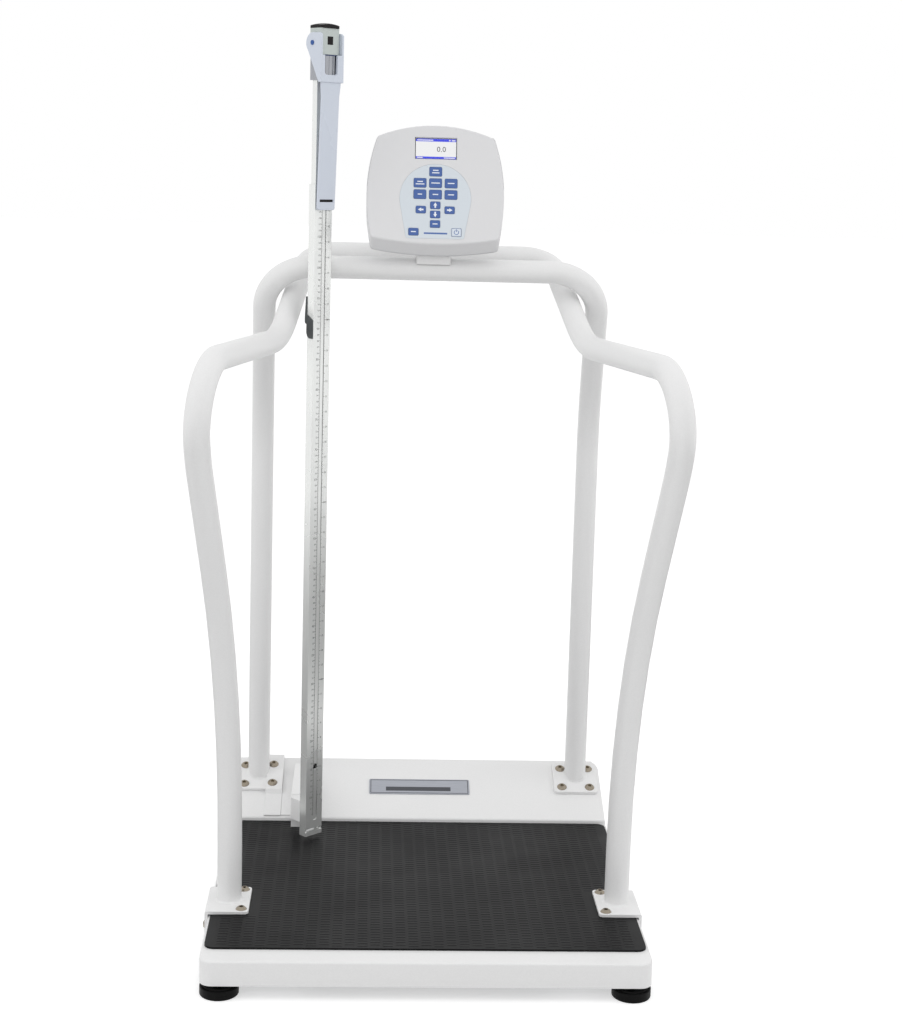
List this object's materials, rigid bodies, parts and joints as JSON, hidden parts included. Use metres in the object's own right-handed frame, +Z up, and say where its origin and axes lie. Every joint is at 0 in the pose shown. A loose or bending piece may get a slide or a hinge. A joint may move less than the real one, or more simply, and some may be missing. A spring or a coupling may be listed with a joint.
{
  "type": "bariatric scale",
  "caption": "Stand-on scale for heavy users: low mat-topped platform, bent tube handrails, tilted console with keys and display, and a sliding height rod with folding headpiece.",
  "frame": {"origin": "on the floor, under the middle of the whole object's box", "axes": "+Z up; the user faces +Y, so -Y is the open front of the platform and the console's face looks towards -Y; +X to the user's right"},
  "size_m": [0.7174, 0.7162, 1.426],
  "materials": {
    "white_powder_coat": "satin white powder coat",
    "mat_rubber": "black moulded rubber with a fine ribbed grip pattern",
    "frame_paint": "grey primer",
    "machined_aluminium": "machined",
    "foot_rubber": "black moulded rubber over a steel core",
    "brushed_plate": "brushed, bare",
    "black_plastic": "moulded, semi-gloss",
    "green_board": "glass-epoxy circuit board",
    "cable_jacket": "PVC jacket",
    "stainless_steel": "polished stainless",
    "wheel_rubber": "solid rubber",
    "anodised_aluminium": "satin anodised",
    "sleeve_aluminium": "bright drawn, fluted",
    "dark_plastic": "moulded, matte",
    "head_plastic": "moulded, semi-gloss",
    "lavender_plastic": "moulded, semi-gloss",
    "blue_pin": "moulded",
    "console_plastic": "moulded ABS, fine matte texture",
    "display_glass": "clear hard-coated window",
    "display_white": "lit display panel",
    "keypad_film": "matte polyester film",
    "cell_jacket": "printed-free metal jacket",
    "blue_key": "moulded, white marks",
    "pale_key": "moulded, blue mark"
  },
  "bodies": {
    "scale": {"platform_shell": "white_powder_coat", "platform_mat": "mat_rubber", "base_frame": "frame_paint", "load_cells": "machined_aluminium", "rear_housing": "white_powder_coat", "name_plate": "brushed_plate", "junction_box": "black_plastic", "junction_board": "green_board", "signal_cable": "cable_jacket", "rear_frame": "white_powder_coat", "handrail_left": "white_powder_coat", "handrail_right": "white_powder_coat", "rear_flanges": "white_powder_coat", "rear_flange_bolts": "stainless_steel", "front_brackets": "white_powder_coat", "front_bracket_bolts": "stainless_steel", "wheel_axles": "stainless_steel", "rod_strap": "white_powder_coat", "rod_bracket": "white_powder_coat", "rod_screws": "stainless_steel", "ruled_mast": "anodised_aluminium", "mast_foot_cap": "anodised_aluminium", "mast_latch": "dark_plastic", "console_front": "console_plastic", "console_back": "console_plastic", "console_screws": "stainless_steel", "console_bracket": "white_powder_coat", "display_window": "display_glass", "display_panel": "display_white", "keypad_sheet": "keypad_film", "circuit_board": "green_board", "battery_door": "console_plastic", "battery_cells": "cell_jacket"},
    "slider": {"inner_mast": "anodised_aluminium", "head_sleeve": "sleeve_aluminium", "head_block": "head_plastic", "head_cap": "black_plastic", "head_window": "black_plastic", "headpiece_pin": "blue_pin"},
    "headpiece": {"headpiece": "lavender_plastic"},
    "wheel_left": {"wheel_left": "wheel_rubber"},
    "wheel_right": {"wheel_right": "wheel_rubber"},
    "foot_front_left": {"foot_front_left": "foot_rubber"},
    "foot_front_right": {"foot_front_right": "foot_rubber"},
    "foot_rear_left": {"foot_rear_left": "foot_rubber"},
    "foot_rear_right": {"foot_rear_right": "foot_rubber"},
    "key_menu": {"key_menu": "blue_key"},
    "key_left_top": {"key_left_top": "blue_key"},
    "key_mid_top": {"key_mid_top": "blue_key"},
    "key_right_top": {"key_right_top": "blue_key"},
    "key_left_low": {"key_left_low": "blue_key"},
    "key_mid_low": {"key_mid_low": "blue_key"},
    "key_right_low": {"key_right_low": "blue_key"},
    "key_up": {"key_up": "blue_key"},
    "key_left": {"key_left": "blue_key"},
    "key_right": {"key_right": "blue_key"},
    "key_down": {"key_down": "blue_key"},
    "key_help": {"key_help": "blue_key"},
    "key_units": {"key_units": "blue_key"},
    "key_power": {"key_power": "pale_key"}
  },
  "joints": [
    {"name": "mast_slide", "type": "slide", "parent": "scale", "child": "slider", "axis": [0, 0, 1], "range_m": [0, 0.75]},
    {"name": "headpiece_hinge", "type": "hinge", "parent": "slider", "child": "headpiece", "pos_m": [-0.1849, 0.13441, 1.3945], "axis": [-0.7431, -0.6691, 0], "range_deg": [0, 90]},
    {"name": "wheel_left_spin", "type": "hinge", "parent": "scale", "child": "wheel_left", "pos_m": [-0.115, 0.32808, 0.033], "axis": [1, 0, 0], "continuous": true},
    {"name": "wheel_right_spin", "type": "hinge", "parent": "scale", "child": "wheel_right", "pos_m": [0.115, 0.32808, 0.033], "axis": [1, 0, 0], "continuous": true},
    {"name": "foot_front_left_level", "type": "slide", "parent": "scale", "child": "foot_front_left", "axis": [0, 0, -1], "range_m": [0, 0.012]},
    {"name": "foot_front_right_level", "type": "slide", "parent": "scale", "child": "foot_front_right", "axis": [0, 0, -1], "range_m": [0, 0.012]},
    {"name": "foot_rear_left_level", "type": "slide", "parent": "scale", "child": "foot_rear_left", "axis": [0, 0, -1], "range_m": [0, 0.012]},
    {"name": "foot_rear_right_level", "type": "slide", "parent": "scale", "child": "foot_rear_right", "axis": [0, 0, -1], "range_m": [0, 0.012]},
    {"name": "key_menu_press", "type": "slide", "parent": "scale", "child": "key_menu", "axis": [0, 0.9511, -0.309], "range_m": [0, 0.0008], "stiffness_N_per_m": 2500},
    {"name": "key_left_top_press", "type": "slide", "parent": "scale", "child": "key_left_top", "axis": [0, 0.9511, -0.309], "range_m": [0, 0.0008], "stiffness_N_per_m": 2500},
    {"name": "key_mid_top_press", "type": "slide", "parent": "scale", "child": "key_mid_top", "axis": [0, 0.9511, -0.309], "range_m": [0, 0.0008], "stiffness_N_per_m": 2500},
    {"name": "key_right_top_press", "type": "slide", "parent": "scale", "child": "key_right_top", "axis": [0, 0.9511, -0.309], "range_m": [0, 0.0008], "stiffness_N_per_m": 2500},
    {"name": "key_left_low_press", "type": "slide", "parent": "scale", "child": "key_left_low", "axis": [0, 0.9511, -0.309], "range_m": [0, 0.0008], "stiffness_N_per_m": 2500},
    {"name": "key_mid_low_press", "type": "slide", "parent": "scale", "child": "key_mid_low", "axis": [0, 0.9511, -0.309], "range_m": [0, 0.0008], "stiffness_N_per_m": 2500},
    {"name": "key_right_low_press", "type": "slide", "parent": "scale", "child": "key_right_low", "axis": [0, 0.9511, -0.309], "range_m": [0, 0.0008], "stiffness_N_per_m": 2500},
    {"name": "key_up_press", "type": "slide", "parent": "scale", "child": "key_up", "axis": [0, 0.9511, -0.309], "range_m": [0, 0.0008], "stiffness_N_per_m": 2500},
    {"name": "key_left_press", "type": "slide", "parent": "scale", "child": "key_left", "axis": [0, 0.9511, -0.309], "range_m": [0, 0.0008], "stiffness_N_per_m": 2500},
    {"name": "key_right_press", "type": "slide", "parent": "scale", "child": "key_right", "axis": [0, 0.9511, -0.309], "range_m": [0, 0.0008], "stiffness_N_per_m": 2500},
    {"name": "key_down_press", "type": "slide", "parent": "scale", "child": "key_down", "axis": [0, 0.9511, -0.309], "range_m": [0, 0.0008], "stiffness_N_per_m": 2500},
    {"name": "key_help_press", "type": "slide", "parent": "scale", "child": "key_help", "axis": [0, 0.9511, -0.309], "range_m": [0, 0.0008], "stiffness_N_per_m": 2500},
    {"name": "key_units_press", "type": "slide", "parent": "scale", "child": "key_units", "axis": [0, 0.9511, -0.309], "range_m": [0, 0.0008], "stiffness_N_per_m": 2500},
    {"name": "key_power_press", "type": "slide", "parent": "scale", "child": "key_power", "axis": [0, 0.9511, -0.309], "range_m": [0, 0.0008], "stiffness_N_per_m": 2500}
  ]
}
